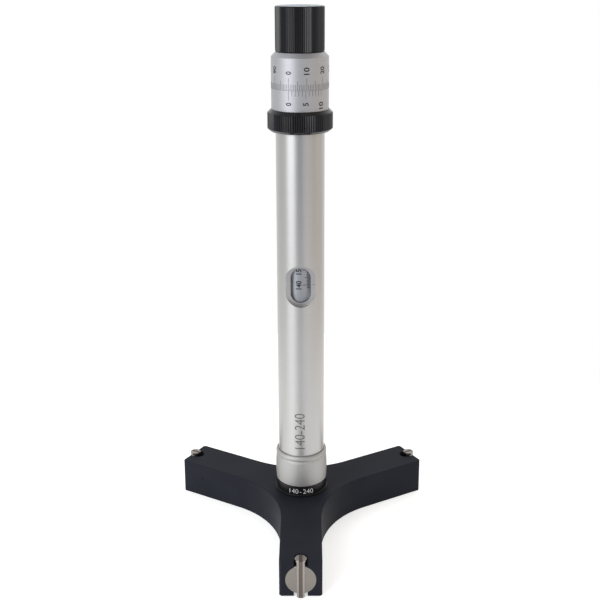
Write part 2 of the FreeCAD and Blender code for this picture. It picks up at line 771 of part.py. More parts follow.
def thimble():
    """The graduated thimble, fixed to the shaft by its roof."""
    cavity = tube_radius + THIMBLE_INSIDE_GAP
    recess = THIMBLE_RECESS_DIAMETER / 2
    return turned([
        (cavity, joint_line),
        (thimble_radius, joint_line),
        (thimble_radius, thimble_top - THIMBLE_CHAMFER),
        (thimble_radius - THIMBLE_CHAMFER, thimble_top),
        (recess, thimble_top),
        (recess, recess_floor),
        (shaft_seat_radius, recess_floor),
        (shaft_seat_radius, thimble_roof),
        (cavity, thimble_roof),
    ])


def thimble_nut():
    """The six-sided nut that clamps the thimble on the shaft."""
    radius = THIMBLE_NUT_DIAMETER / 2
    corners = []
    for index in range(6):
        angle = math.radians(60 * index)
        corners.append(Vector(radius * math.cos(angle), radius * math.sin(angle), recess_floor))
    blank = Part.Face(Part.makePolygon(corners + corners[:1]))
    blank = blank.extrude(Vector(0, 0, THIMBLE_NUT_HEIGHT))
    return blank.cut(disc(shaft_seat_radius, recess_floor - 1, recess_floor + THIMBLE_NUT_HEIGHT + 1))


def friction_disc():
    """The brass disc clamped on the shaft's end, which the knob's springs press."""
    radius = knob_cavity - FRICTION_DISC_FIT
    return ring(radius, KNOB_SCREW_THREAD / 2, shaft_end, friction_top)


def disc_springs():
    """A stack of coned spring washers, point to point."""
    inner = KNOB_SCREW_DIAMETER / 2 + KNOB_SCREW_FIT
    outer = SPRING_DIAMETER / 2
    washers = []
    for index in range(SPRING_COUNT):
        low = friction_top + SPRING_CONTACT_GAP + index * spring_rise
        inner_low = low + (SPRING_CONE if index % 2 == 0 else 0)
        outer_low = low + (0 if index % 2 == 0 else SPRING_CONE)
        washers.append(turned([
            (inner, inner_low),
            (outer, outer_low),
            (outer, outer_low + SPRING_THICKNESS),
            (inner, inner_low + SPRING_THICKNESS),
        ]))
    return Part.makeCompound(washers)


def knob_screw():
    """The shouldered screw on which the knob turns."""
    thread = KNOB_SCREW_THREAD / 2
    shoulder = KNOB_SCREW_DIAMETER / 2
    head = KNOB_SCREW_HEAD_DIAMETER / 2
    head_foot = web_top + END_PLAY
    return turned([
        (0, shaft_end - KNOB_SCREW_GRIP),
        (thread, shaft_end - KNOB_SCREW_GRIP),
        (thread, friction_top),
        (shoulder, friction_top),
        (shoulder, head_foot),
        (head, head_foot),
        (head, head_foot + KNOB_SCREW_HEAD_HEIGHT),
        (0, head_foot + KNOB_SCREW_HEAD_HEIGHT),
    ])


def knob():
    """The black knurled knob, hollow for the friction drive."""
    pivot = KNOB_SCREW_DIAMETER / 2 + KNOB_SCREW_FIT
    head_room = KNOB_SCREW_HEAD_DIAMETER / 2 + KNOB_SCREW_HEAD_ROOM
    envelope = turned([
        (knob_cavity, knob_foot),
        (knob_radius - KNOB_EDGE, knob_foot),
        (knob_radius, knob_foot + KNOB_EDGE),
        (knob_radius, knob_top - KNOB_EDGE),
        (knob_radius - KNOB_EDGE, knob_top),
        (CAP_DIAMETER / 2, knob_top),
        (CAP_DIAMETER / 2, cap_seat),
        (head_room, cap_seat),
        (head_room, web_top),
        (pivot, web_top),
        (pivot, web_foot),
        (knob_cavity, web_foot),
    ])
    return envelope.common(fluted(knob_radius, KNOB_FLUTE_DEPTH, KNOB_FLUTES, knob_foot, knob_top))


def cap_disc():
    """The thin disc that closes the top of the knob."""
    return disc(CAP_DIAMETER / 2, cap_seat, knob_top)


def main():
    """Build every sub-part and write it."""
    os.makedirs("parts", exist_ok=True)
    save(measuring_head(), "measuring_head")
    save(column_base(), "column_base")
    save(base_screws(), "base_screws")
    save(lower_bush(), "lower_bush")
    save(collar(), "collar")
    save(column_tube(), "column_tube")
    save(upper_bush(), "upper_bush")
    save(drive_shaft(), "drive_shaft")
    save(scale_sleeve(), "scale_sleeve")
    save(scale_nut(), "scale_nut")
    save(scale_key(), "scale_key")
    save(lock_ring(), "lock_ring")
    save(vernier_sleeve(), "vernier_sleeve")
    save(thimble(), "thimble")
    save(thimble_nut(), "thimble_nut")
    save(friction_disc(), "friction_disc")
    save(disc_springs(), "disc_springs")
    save(knob_screw(), "knob_screw")
    save(knob(), "knob")
    save(cap_disc(), "cap_disc")
    crown = mitre_gear()
    crown.translate(Vector(0, 0, axis_height))
    save(crown, "crown_gear")
    arm_pieces = {
        "plunger": plunger(),
        "measuring_bar": measuring_bar(),
        "screw_bush": screw_bush(),
        "drive_screw": drive_screw(),
        "bevel_pinion": laid_outwards(mitre_gear()),
        "guide_key": guide_key(),
        "key_screw": key_screw(),
    }
    for name, shape in arm_pieces.items():
        for index, copy in enumerate(on_all_arms(shape)):
            save(copy, name + "_" + str(index + 1))


main()
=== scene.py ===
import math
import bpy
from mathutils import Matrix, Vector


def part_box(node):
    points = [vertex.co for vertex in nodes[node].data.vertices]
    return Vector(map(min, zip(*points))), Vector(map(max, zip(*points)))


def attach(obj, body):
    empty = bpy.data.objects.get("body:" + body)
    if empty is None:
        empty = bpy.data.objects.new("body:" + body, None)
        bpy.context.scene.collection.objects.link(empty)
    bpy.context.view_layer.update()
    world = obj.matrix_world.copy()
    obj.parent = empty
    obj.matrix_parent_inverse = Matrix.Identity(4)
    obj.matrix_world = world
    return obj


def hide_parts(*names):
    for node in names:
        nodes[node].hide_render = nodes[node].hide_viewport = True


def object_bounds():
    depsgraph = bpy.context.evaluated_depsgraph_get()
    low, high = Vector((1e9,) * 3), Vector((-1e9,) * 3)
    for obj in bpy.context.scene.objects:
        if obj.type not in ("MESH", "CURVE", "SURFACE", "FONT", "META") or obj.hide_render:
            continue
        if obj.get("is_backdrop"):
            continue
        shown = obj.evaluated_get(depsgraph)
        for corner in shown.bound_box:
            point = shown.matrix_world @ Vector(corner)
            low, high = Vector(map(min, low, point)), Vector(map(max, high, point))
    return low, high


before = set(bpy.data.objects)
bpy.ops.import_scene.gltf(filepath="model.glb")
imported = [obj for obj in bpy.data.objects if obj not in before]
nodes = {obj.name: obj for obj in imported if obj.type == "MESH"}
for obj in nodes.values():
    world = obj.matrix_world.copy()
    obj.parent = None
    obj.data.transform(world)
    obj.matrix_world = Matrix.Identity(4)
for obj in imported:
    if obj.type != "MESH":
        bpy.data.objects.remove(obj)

# %% [markdown]
# # An inside micrometer in satin aluminium and black anodise
#
# The instrument stands on a black three-armed head. A bright tube rises from it and carries, from the
# bottom up, a collar, a reading window, a black lock ring, a vernier sleeve, a thimble and a black knob.
# The shapes come from the CAD frame. What is left to do here is what a finishing shop does: turn, blast,
# grind, anodise, engrave the scales and fill them with paint.

MM = 0.001
cad_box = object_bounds()
tube_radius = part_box("column_tube")[1].x
thimble_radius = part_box("thimble")[1].x
sleeve_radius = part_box("scale_sleeve")[1].x
joint_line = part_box("thimble")[0].z
hub_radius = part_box("column_base")[1].x
print("tube", tube_radius / MM, "thimble", thimble_radius / MM, "sleeve", sleeve_radius / MM)
print("joint line", joint_line / MM, "hub", hub_radius / MM)

# %% [markdown]
# ## The camera
#
# A camera is a place, a direction and a lens. The object was seen from a little above, with a lens of
# moderate length, and the picture was cropped off centre, which the shift gives without tilting the
# verticals. The axes of the camera are worked out as vectors, so that the small roll and the small turn
# about the column are plain to see.

# %% Camera
CAMERA_DISTANCE = 461.56 * MM
CAMERA_HEIGHT = 280.70 * MM
CAMERA_PITCH = math.radians(15.852)
CAMERA_YAW = math.radians(-0.034)
CAMERA_ROLL = math.radians(0.226)
CAMERA_TURN = math.radians(0.428)
LENS = 59.954
SENSOR_WIDTH = 36
SHIFT_Y = -0.10185
CLIP_START = 0.01


def place_camera():
    forward = Vector((math.sin(CAMERA_YAW) * math.cos(CAMERA_PITCH),
                      math.cos(CAMERA_YAW) * math.cos(CAMERA_PITCH),
                      -math.sin(CAMERA_PITCH)))
    level = Vector((math.cos(CAMERA_YAW), -math.sin(CAMERA_YAW), 0))
    upward = level.cross(forward)
    right = level * math.cos(CAMERA_ROLL) - upward * math.sin(CAMERA_ROLL)
    above = level * math.sin(CAMERA_ROLL) + upward * math.cos(CAMERA_ROLL)
    axes = Matrix((right, above, -forward)).transposed().to_4x4()
    place = Matrix.Translation((0, -CAMERA_DISTANCE, CAMERA_HEIGHT))
    lens = bpy.data.cameras.new("camera")
    lens.lens = LENS
    lens.sensor_width = SENSOR_WIDTH
    lens.shift_y = SHIFT_Y
    lens.clip_start = CLIP_START
    camera = bpy.data.objects.new("camera", lens)
    bpy.context.scene.collection.objects.link(camera)
    camera.matrix_world = Matrix.Rotation(CAMERA_TURN, 4, "Z") @ place @ axes
    bpy.context.scene.camera = camera
    print("camera at", [round(v, 4) for v in camera.matrix_world.translation])


place_camera()

# %% [markdown]
# ## The table and the light
#
# Bright metal shows what stands round it, so the studio matters more than the metal. The object stands on
# a round white table before a white backdrop. The rest of the room is written as shades by azimuth, from
# the backdrop behind the object round the pale right wall, past the dim gap in which the camera stands, to
# the pale left wall. A tube shows a wall at twice the angle of its own surface, so the gap draws the grey
# line up its middle.
#
# The camera sees the backdrop white all round. Metal sees the backdrop and the lit table as the camera
# does, which Light Path gives, while the light on the object stays at a plain level and leaves it a soft
# shadow. The ceiling is dimmer than the walls, so that the upper faces of the head stay dark.

# %% Backdrop and walls
bpy.context.scene.view_settings.view_transform = "Standard"
BACKDROP = (1.0, 1.0, 1.0)
WALL_SHADES = (
    (-180, BACKDROP), (-136, BACKDROP),
    (-116, (0.807, 0.807, 0.796)), (-80, (0.785, 0.796, 0.796)),
    (-66, (0.741, 0.752, 0.763)), (-36, (0.676, 0.687, 0.698)),
    (-12, (0.371, 0.387, 0.436)), (6, (0.36, 0.371, 0.409)),
    (20, (0.828, 0.807, 0.796)), (54, (0.763, 0.73, 0.698)),
    (68, (0.698, 0.632, 0.556)), (112, (0.676, 0.621, 0.556)),
    (136, BACKDROP), (180, BACKDROP))
CEILING_STRENGTH = 0.6
CEILING_START = 0.45
CEILING_FULL = 0.85
print(len(WALL_SHADES), "shades round the room")

# %% Which rays see the studio


def seen_rays(tree):
    """One for a camera, glossy or transmission ray, and nought for a ray that lights a dull surface."""
    rays = tree.nodes.new("ShaderNodeLightPath")
    seen = rays.outputs["Is Camera Ray"]
    for kind in ("Is Glossy Ray", "Is Transmission Ray"):
        either = tree.nodes.new("ShaderNodeMath")
        either.operation = "MAXIMUM"
        tree.links.new(seen, either.inputs[0])
        tree.links.new(rays.outputs[kind], either.inputs[1])
        seen = either.outputs["Value"]
    return seen


# %% The room


def studio_world():
    world = bpy.data.worlds.new("studio")
    world.use_nodes = True
    bpy.context.scene.world = world
    tree = world.node_tree
    tree.nodes.clear()
    place = tree.nodes.new("ShaderNodeTexCoord")
    apart = tree.nodes.new("ShaderNodeSeparateXYZ")
    back = tree.nodes.new("ShaderNodeMath")
    back.operation = "MULTIPLY"
    back.inputs[1].default_value = -1
    around = tree.nodes.new("ShaderNodeMath")
    around.operation = "ARCTAN2"
    share = tree.nodes.new("ShaderNodeMapRange")
    share.inputs["From Min"].default_value = -math.pi
    share.inputs["From Max"].default_value = math.pi
    walls = tree.nodes.new("ShaderNodeValToRGB")
    stops = walls.color_ramp.elements
    for index, (azimuth, colour) in enumerate(WALL_SHADES):
        last = index == len(WALL_SHADES) - 1
        share_round = azimuth / 360 + 0.5
        stop = stops[0] if index == 0 else stops[len(stops) - 1] if last else stops.new(share_round)
        stop.position = share_round
        stop.color = (*colour, 1)
    ceiling = tree.nodes.new("ShaderNodeMapRange")
    ceiling.inputs["From Min"].default_value = CEILING_START
    ceiling.inputs["From Max"].default_value = CEILING_FULL
    ceiling.inputs["To Min"].default_value = 1
    ceiling.inputs["To Max"].default_value = CEILING_STRENGTH
    room = tree.nodes.new("ShaderNodeBackground")
    white = tree.nodes.new("ShaderNodeBackground")
    white.inputs["Color"].default_value = (*BACKDROP, 1)
    rays = tree.nodes.new("ShaderNodeLightPath")
    pick = tree.nodes.new("ShaderNodeMixShader")
    out = tree.nodes.new("ShaderNodeOutputWorld")
    link = tree.links.new
    link(place.outputs["Generated"], apart.inputs["Vector"])
    link(apart.outputs["Y"], back.inputs[0])
    link(apart.outputs["X"], around.inputs[0])
    link(back.outputs["Value"], around.inputs[1])
    link(around.outputs["Value"], share.inputs["Value"])
    link(share.outputs["Result"], walls.inputs["Fac"])
    link(walls.outputs["Color"], room.inputs["Color"])
    link(apart.outputs["Z"], ceiling.inputs["Value"])
    link(ceiling.outputs["Result"], room.inputs["Strength"])
    link(rays.outputs["Is Camera Ray"], pick.inputs["Fac"])
    link(room.outputs["Background"], pick.inputs[1])
    link(white.outputs["Background"], pick.inputs[2])
    link(pick.outputs["Shader"], out.inputs["Surface"])
    print("room", world.name, "with", len(stops), "stops")


studio_world()

# %% Table
TABLE_RADIUS = 0.26
TABLE_SIDES = 96
TABLE_GLOW = 0.55
TABLE_WHITE = (0.86, 0.86, 0.86)


def table_top():
    bpy.ops.object.select_all(action="DESELECT")
    bpy.ops.mesh.primitive_circle_add(radius=TABLE_RADIUS, vertices=TABLE_SIDES, fill_type="NGON",
                                      location=(0, 0, 0))
    table = bpy.context.object
    table.name = "table"
    paint = bpy.data.materials.new("table_white")
    paint.use_nodes = True
    tree = paint.node_tree
    tree.nodes.clear()
    cloth = tree.nodes.new("ShaderNodeBsdfDiffuse")
    cloth.inputs["Color"].default_value = (*TABLE_WHITE, 1)
    glow = tree.nodes.new("ShaderNodeEmission")
    glow.inputs["Strength"].default_value = TABLE_GLOW
    pick = tree.nodes.new("ShaderNodeMixShader")
    both = tree.nodes.new("ShaderNodeAddShader")
    out = tree.nodes.new("ShaderNodeOutputMaterial")
    link = tree.links.new
    link(cloth.outputs["BSDF"], both.inputs[0])
    link(glow.outputs["Emission"], both.inputs[1])
    link(seen_rays(tree), pick.inputs["Fac"])
    link(cloth.outputs["BSDF"], pick.inputs[1])
    link(both.outputs["Shader"], pick.inputs[2])
    link(pick.outputs["Shader"], out.inputs["Surface"])
    table.data.materials.append(paint)
    table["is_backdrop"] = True
    print("table", 2 * TABLE_RADIUS, "m across")


table_top()

# %% [markdown]
# ### The lamps
#
# Three soft boxes add shape to the even light of the room. The one at the front left draws the bright line
# down the left of every round piece, the one at the right is faint and warm, and the one above and behind
# lifts the upper edges. Each is an area lamp that is turned to face the middle of the column.

# %% Lamps
LAMP_AIM = Vector((0, 0, 0.12))


def soft_lamp(name, width, height, azimuth, distance, rise, watts, colour):
    """A soft box that faces the column. Azimuth 0 is towards the camera, and plus is to the right."""
    panel = bpy.data.lights.new(name, "AREA")
    panel.shape = "RECTANGLE"
    panel.size = width
    panel.size_y = height
    panel.energy = watts
    panel.color = colour
    lamp = bpy.data.objects.new(name, panel)
    bpy.context.scene.collection.objects.link(lamp)
    turn = math.radians(azimuth)
    lamp.location = (distance * math.sin(turn), -distance * math.cos(turn), rise)
    aim = LAMP_AIM - lamp.location
    lamp.rotation_euler = aim.to_track_quat("-Z", "Y").to_euler()
    print(name, "at", [round(v, 3) for v in lamp.location], "with", watts, "W")


soft_lamp("left_box", width=0.9, height=1.2, azimuth=-44, distance=1.2, rise=0.55, watts=9.3,
          colour=(0.98, 0.99, 1.0))
soft_lamp("right_box", width=0.8, height=1.2, azimuth=95, distance=1.2, rise=0.55, watts=1.0,
          colour=(1.0, 0.95, 0.88))
soft_lamp("top_box", width=0.8, height=0.8, azimuth=180, distance=0.6, rise=1.1, watts=1.6,
          colour=(1.0, 1.0, 1.0))

# %% [markdown]
# ## The finishes
#
# Every finish is a Principled shader with the detail of the real process: turning leaves fine rings round
# the axis, blasting leaves a grain, grinding leaves straight scratches. The patterns read Object
# coordinates, because every piece sits at the origin and its place is in its mesh, so one finish fits all
# pieces that share it.

# %% A new finish


def new_finish(name, base, metallic, roughness):
    finish = bpy.data.materials.new(name)
    finish.use_nodes = True
    shader = finish.node_tree.nodes["Principled BSDF"]
    shader.inputs["Base Color"].default_value = (*base, 1)
    shader.inputs["Metallic"].default_value = metallic
    shader.inputs["Roughness"].default_value = roughness
    finish.diffuse_color = (*base, 1)
    return finish, finish.node_tree, shader


# %% Helpers for patterns
NOISE_LOW = 0.3
NOISE_HIGH = 0.7


def pattern(tree, scale, detail, stretch=(1, 1, 1)):
    """Noise on Object coordinates, in millimetres, pressed together along the axes that stretch gives."""
    place = tree.nodes.new("ShaderNodeTexCoord")
    mapping = tree.nodes.new("ShaderNodeMapping")
    mapping.inputs["Scale"].default_value = tuple(s / MM for s in stretch)
    noise = tree.nodes.new("ShaderNodeTexNoise")
    noise.inputs["Scale"].default_value = scale
    noise.inputs["Detail"].default_value = detail
    tree.links.new(place.outputs["Object"], mapping.inputs["Vector"])
    tree.links.new(mapping.outputs["Vector"], noise.inputs["Vector"])
    return noise.outputs["Fac"]


def between(tree, value, low, high):
    """Spreads the middle of a noise over a range of roughness or brightness."""
    spread = tree.nodes.new("ShaderNodeMapRange")
    spread.inputs["From Min"].default_value = NOISE_LOW
    spread.inputs["From Max"].default_value = NOISE_HIGH
    spread.inputs["To Min"].default_value = low
    spread.inputs["To Max"].default_value = high
    tree.links.new(value, spread.inputs["Value"])
    return spread.outputs["Result"]


def tinted(tree, value, dark, light):
    """A colour that wanders between two near shades."""
    mix = tree.nodes.new("ShaderNodeMix")
    mix.data_type = "RGBA"
    mix.inputs["A"].default_value = (*dark, 1)
    mix.inputs["B"].default_value = (*light, 1)
    tree.links.new(between(tree, value, 0, 1), mix.inputs["Factor"])
    return mix.outputs["Result"]


def vary_roughness(tree, shader, value, roughness, spread):
    """Lets the roughness wander between two shares of its middle value."""
    low, high = spread
    tree.links.new(between(tree, value, roughness * low, roughness * high), shader.inputs["Roughness"])


def roughen(tree, shader, value, height, strength):
    """Presses a noise into the surface as bump, by its real height."""
    bump = tree.nodes.new("ShaderNodeBump")
    bump.inputs["Distance"].default_value = height
    bump.inputs["Strength"].default_value = strength
    tree.links.new(value, bump.inputs["Height"])
    tree.links.new(bump.outputs["Normal"], shader.inputs["Normal"])


def dress(names, finish):
    """Gives CAD nodes a finish, and leaves their meshes alone."""
    for name in names:
        piece = nodes[name]
        piece.data.materials.clear()
        piece.data.materials.append(finish)
    print(finish.name, "on", ", ".join(names))


# %% [markdown]
# ### Satin aluminium
#
# The tube, collar, sleeves and thimble are turned, finely blasted and clear anodised. Turning marks run
# round the axis, so a highlight is drawn out along the column. The shader's own anisotropy does that: the
# tangent runs round the axis, and a quarter turn puts the wide spread along the column.

# %% Satin aluminium
QUARTER_TURN = 0.25
SATIN_SPREAD = (0.9, 1.12)
SATIN_GRAIN_HEIGHT = 0.0015 * MM


def satin_metal(name, base, light, roughness, stretch):
    finish, tree, shader = new_finish(name, base, metallic=1.0, roughness=roughness)
    shader.inputs["Anisotropic"].default_value = stretch
    shader.inputs["Anisotropic Rotation"].default_value = QUARTER_TURN
    tangent = tree.nodes.new("ShaderNodeTangent")
    tangent.direction_type = "RADIAL"
    tangent.axis = "Z"
    tree.links.new(tangent.outputs["Tangent"], shader.inputs["Tangent"])
    grain = pattern(tree, scale=4.0, detail=2.0, stretch=(0.5, 0.5, 1.6))
    rings = pattern(tree, scale=1.0, detail=2.0, stretch=(0.02, 0.02, 6.0))
    tree.links.new(tinted(tree, rings, base, light), shader.inputs["Base Color"])
    vary_roughness(tree, shader, grain, roughness, SATIN_SPREAD)
    roughen(tree, shader, grain, SATIN_GRAIN_HEIGHT, strength=0.5)
    return finish


tube_satin = satin_metal("tube_satin_aluminium", base=(0.50, 0.496, 0.492), light=(0.53, 0.526, 0.522),
                         roughness=0.40, stretch=0.55)
thimble_satin = satin_metal("thimble_satin_chrome", base=(0.49, 0.49, 0.516), light=(0.52, 0.52, 0.546),
                            roughness=0.55, stretch=0.3)
sleeve_satin = satin_metal("sleeve_satin_chrome", base=(0.34, 0.355, 0.385), light=(0.37, 0.385, 0.415),
                           roughness=0.5, stretch=0.3)
collar_satin = satin_metal("collar_satin_aluminium", base=(0.46, 0.456, 0.448), light=(0.485, 0.481, 0.473),
                           roughness=0.6, stretch=0.1)
dress(["column_tube"], tube_satin)
dress(["collar"], collar_satin)
dress(["thimble", "vernier_sleeve"], thimble_satin)
dress(["scale_sleeve"], sleeve_satin)

# %% [markdown]
# ### Black anodise
#
# The head is milled, blasted and dyed black, which dries to a dark blue grey with a soft sheen. The knob
# and the ring are turned and fluted, so they keep more shine. The hub's turned rim is plain black, and the
# disc in the knob is dyed a pale blue. One helper makes all four, because they differ only in dye,
# roughness and shine.

# %% Black anodise
ANODISE_SPREAD = (0.88, 1.12)


def dyed_anodise(name, dark, light, roughness, shine, grain_height):
    finish, tree, shader = new_finish(name, dark, metallic=0.0, roughness=roughness)
    shader.inputs["Specular IOR Level"].default_value = shine
    grain = pattern(tree, scale=3.0, detail=3.0)
    cloud = pattern(tree, scale=0.05, detail=2.0)
    tree.links.new(tinted(tree, cloud, dark, light), shader.inputs["Base Color"])
    vary_roughness(tree, shader, grain, roughness, ANODISE_SPREAD)
    roughen(tree, shader, grain, grain_height, strength=0.7)
    return finish


head_black = dyed_anodise("head_black_anodise", dark=(0.0175, 0.0188, 0.0262), light=(0.0218, 0.0236, 0.0322),
                          roughness=0.5, shine=0.06, grain_height=0.02 * MM)
fluted_black = dyed_anodise("fluted_black_anodise", dark=(0.001, 0.001, 0.0035), light=(0.002, 0.002, 0.005),
                            roughness=0.15, shine=0.55, grain_height=0.003 * MM)
cap_pale = dyed_anodise("cap_pale_anodise", dark=(0.46, 0.53, 0.60), light=(0.50, 0.57, 0.64),
                        roughness=0.6, shine=0.1, grain_height=0.003 * MM)
hub_black = dyed_anodise("hub_black_anodise", dark=(0.005, 0.005, 0.006), light=(0.008, 0.008, 0.009),
                         roughness=0.3, shine=0.3, grain_height=0.004 * MM)
dress(["measuring_head"], head_black)
dress(["column_base"], hub_black)
dress(["cap_disc"], cap_pale)

# %% [markdown]
# ### Ground steel, bronze and blackened screws
#
# A grinding wheel and a lathe tool both leave fine straight scratches. A noise that is pressed together
# across the scratches and left long along them gives that, in colour, roughness and bump at once. One
# helper makes the steel, the bronze of the bushes and nuts, and the screws, because they differ only in
# colour and in the scratches' direction. Most of these pieces are hidden, and their finish is there for
# whoever takes the instrument apart.

# %% Ground steel, bronze and blackened screws
GROUND_SPREAD = (0.8, 1.2)
SCRATCH_HEIGHT = 0.004 * MM


def ground_metal(name, base, light, roughness, stretch):
    finish, tree, shader = new_finish(name, base, metallic=1.0, roughness=roughness)
    scratches = pattern(tree, scale=1.0, detail=3.0, stretch=stretch)
    tree.links.new(tinted(tree, scratches, base, light), shader.inputs["Base Color"])
    vary_roughness(tree, shader, scratches, roughness, GROUND_SPREAD)
    roughen(tree, shader, scratches, SCRATCH_HEIGHT, strength=0.5)
    return finish


steel = ground_metal("ground_steel", base=(0.225, 0.206, 0.19), light=(0.262, 0.24, 0.222),
                     roughness=0.32, stretch=(6.0, 0.6, 0.6))
bronze = ground_metal("turned_bronze", base=(0.56, 0.36, 0.16), light=(0.62, 0.41, 0.20),
                      roughness=0.34, stretch=(0.5, 0.5, 6.0))
screw_black = ground_metal("blackened_steel", base=(0.05, 0.05, 0.055), light=(0.07, 0.07, 0.075),
                           roughness=0.38, stretch=(3.0, 3.0, 3.0))
arms = (1, 2, 3)
dress(["drive_shaft", "crown_gear", "thimble_nut", "knob_screw", "disc_springs", "scale_key"], steel)
dress(["lower_bush", "upper_bush", "scale_nut", "friction_disc"], bronze)
dress(["base_screws"], screw_black)
for k in arms:
    dress(["plunger_%d" % k, "drive_screw_%d" % k, "bevel_pinion_%d" % k, "guide_key_%d" % k], steel)
    dress(["screw_bush_%d" % k], bronze)
    dress(["key_screw_%d" % k], screw_black)

# %% [markdown]
# ### The measuring bars
#
# Each bar has a narrow contact land between two bevels. The land is coloured darker, which is painted
# shade, and the bevels lighter, which are painted highlights. The land is found by how far a point lies to
# the side of its arm's own plane: the dot product of the place with the arm's sideways direction.

# %% The measuring bars
SHADED_LAND_WIDTH = 1.8 * MM
BAR_ROUGHNESS = 0.3
BAR_SCRATCH_HEIGHT = 0.003 * MM
BAR_STEEL = (0.56, 0.53, 0.50)
# The land's dark colour is painted shade, and the bevels' lighter colours are painted highlights.
LAND_PAINTED_SHADE = (0.13, 0.11, 0.10)
BEVEL_PAINTED_HIGHLIGHT = ((0.32, 0.295, 0.275), (0.37, 0.345, 0.32))
ARM_AZIMUTHS = {1: -90, 2: 30, 3: 150}


def bar_steel(k):
    finish, tree, shader = new_finish("bar_steel_%d" % k, BAR_STEEL, metallic=1.0, roughness=BAR_ROUGHNESS)
    azimuth = math.radians(ARM_AZIMUTHS[k])
    place = tree.nodes.new("ShaderNodeTexCoord")
    sideways = tree.nodes.new("ShaderNodeVectorMath")
    sideways.operation = "DOT_PRODUCT"
    sideways.inputs[1].default_value = (-math.sin(azimuth), math.cos(azimuth), 0)
    distance = tree.nodes.new("ShaderNodeMath")
    distance.operation = "ABSOLUTE"
    painted_shade_mask = tree.nodes.new("ShaderNodeMath")
    painted_shade_mask.operation = "LESS_THAN"
    painted_shade_mask.inputs[1].default_value = SHADED_LAND_WIDTH / 2
    scratches = pattern(tree, scale=1.0, detail=3.0, stretch=(6.0, 6.0, 0.6))
    # Mixes the painted shade of the land into the painted highlights of the bevels.
    mix = tree.nodes.new("ShaderNodeMix")
    mix.data_type = "RGBA"
    mix.inputs["B"].default_value = (*LAND_PAINTED_SHADE, 1)
    link = tree.links.new
    link(place.outputs["Object"], sideways.inputs[0])
    link(sideways.outputs["Value"], distance.inputs[0])
    link(distance.outputs["Value"], painted_shade_mask.inputs[0])
    link(painted_shade_mask.outputs["Value"], mix.inputs["Factor"])
    link(tinted(tree, scratches, *BEVEL_PAINTED_HIGHLIGHT), mix.inputs["A"])
    link(mix.outputs["Result"], shader.inputs["Base Color"])
    vary_roughness(tree, shader, scratches, BAR_ROUGHNESS, GROUND_SPREAD)
    roughen(tree, shader, scratches, BAR_SCRATCH_HEIGHT, strength=0.5)
    return finish


for k in arms:
    dress(["measuring_bar_%d" % k], bar_steel(k))

# %% [markdown]
# ## The knob and the lock ring
#
# Both are turned, and then straight flutes are milled round them. The walls of a flute lean at forty
# degrees, so each one picks up a lamp that stands far off to the side. That is why a black knob shows
# bright lines away from its own highlight. A profile is spun round the axis, with three columns of points
# for each flute. Two stay on the crest and the third is pressed in to make the bottom of the groove. Where
# the edges are broken, the groove's bottom also moves along the axis, so that each groove runs out in its
# chamfer.

# %% A fluted turning
FLUTE_SHAPE = ((0.0, 0.0), (0.2, 0.0), (0.6, 1.0))
WELD = 0.001 * MM
SAME_PLACE = 0.01 * MM


def fluted_turning(name, profile, count, depth):
    """Spins a closed profile of (radius, height) round the axis and mills flutes into its widest points."""
    outline = bpy.data.meshes.new(name)
    corners = len(profile)
    outline.from_pydata([(r, 0, z) for r, z in profile], [(i, (i + 1) % corners) for i in range(corners)], [])
    piece = bpy.data.objects.new(name, outline)
    bpy.context.scene.collection.objects.link(piece)
    bpy.ops.object.select_all(action="DESELECT")
    piece.select_set(True)
    bpy.context.view_layer.objects.active = piece
    bpy.ops.object.mode_set(mode="EDIT")
    bpy.ops.mesh.select_all(action="SELECT")
    columns = count * len(FLUTE_SHAPE)
    bpy.ops.mesh.spin(steps=columns, angle=2 * math.pi, center=(0, 0, 0), axis=(0, 0, 1))
    bpy.ops.mesh.select_all(action="SELECT")
    bpy.ops.mesh.remove_doubles(threshold=WELD)
    bpy.ops.mesh.normals_make_consistent(inside=False)
    bpy.ops.object.mode_set(mode="OBJECT")
    outer = max(r for r, z in profile)
    foot = min(z for r, z in profile if r == outer)
    head = max(z for r, z in profile if r == outer)
    pitch = 2 * math.pi / count
    for vertex in piece.data.vertices:
        radius = math.hypot(vertex.co.x, vertex.co.y)
        column = round(math.atan2(vertex.co.y, vertex.co.x) / pitch * len(FLUTE_SHAPE))
        flute, step = divmod(column, len(FLUTE_SHAPE))
        share, sink = FLUTE_SHAPE[step]
        angle = (flute + share) * pitch
        height = vertex.co.z
        if radius > outer - SAME_PLACE:
            radius -= sink * depth
            height += sink * depth * ((abs(height - head) < SAME_PLACE) - (abs(height - foot) < SAME_PLACE))
        vertex.co = (radius * math.cos(angle), radius * math.sin(angle), height)
    piece.data.materials.append(fluted_black)
    print(name, len(piece.data.polygons), "faces")
    return piece


# %% The knob
KNOB_FLUTES = 80
KNOB_FLUTE_DEPTH = 0.30 * MM
KNOB_EDGE = 0.45 * MM
KNOB_BORE = 8.49 * MM
PIVOT_BORE = 2.55 * MM
SCREW_ROOM = 5.0 * MM
SCREW_HEAD_HEIGHT = 2.0 * MM
WEB_TOP_GAP = 0.1 * MM
WEB_HEIGHT = 4.5 * MM


